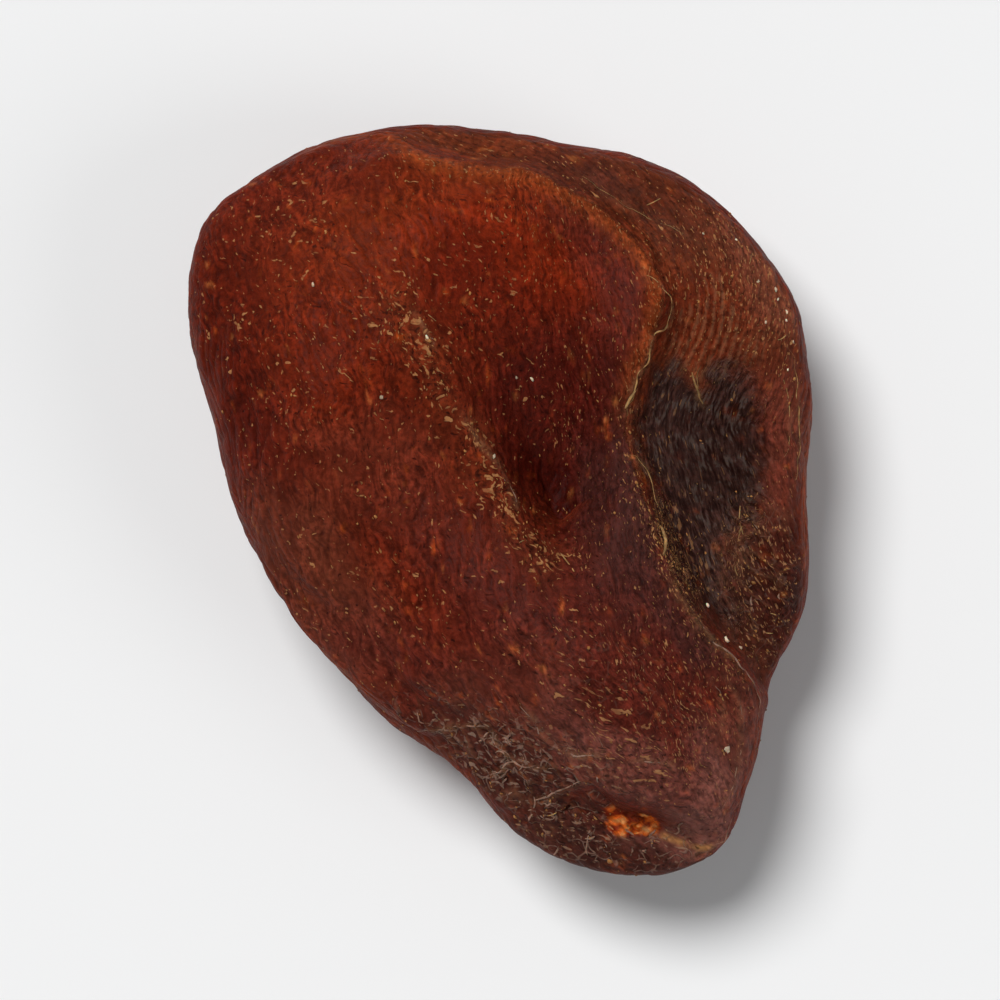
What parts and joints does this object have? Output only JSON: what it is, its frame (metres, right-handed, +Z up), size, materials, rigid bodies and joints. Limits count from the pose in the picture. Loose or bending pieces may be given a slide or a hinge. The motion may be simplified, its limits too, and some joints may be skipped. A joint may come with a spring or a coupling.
{
  "type": "dried apricot",
  "caption": "Whole dried apricot, pitted, lying on its flattened underside: a thick ring folded round a sunken middle, overlapping a second fold with a long hollow beside it.",
  "frame": {"origin": "middle of the fruit's box seen from above, on the surface that it rests on", "axes": "+Z up through the fruit's thickness, +Y along its longest way towards the broad end and away from the stalk end, +X across it towards the thin side with the hollow"},
  "size_m": [0.0344, 0.0414, 0.0157],
  "materials": {
    "dried_flesh": "satin, wrinkled, slightly translucent"
  },
  "bodies": {
    "root": {"apricot": "dried_flesh"}
  },
  "joints": []
}
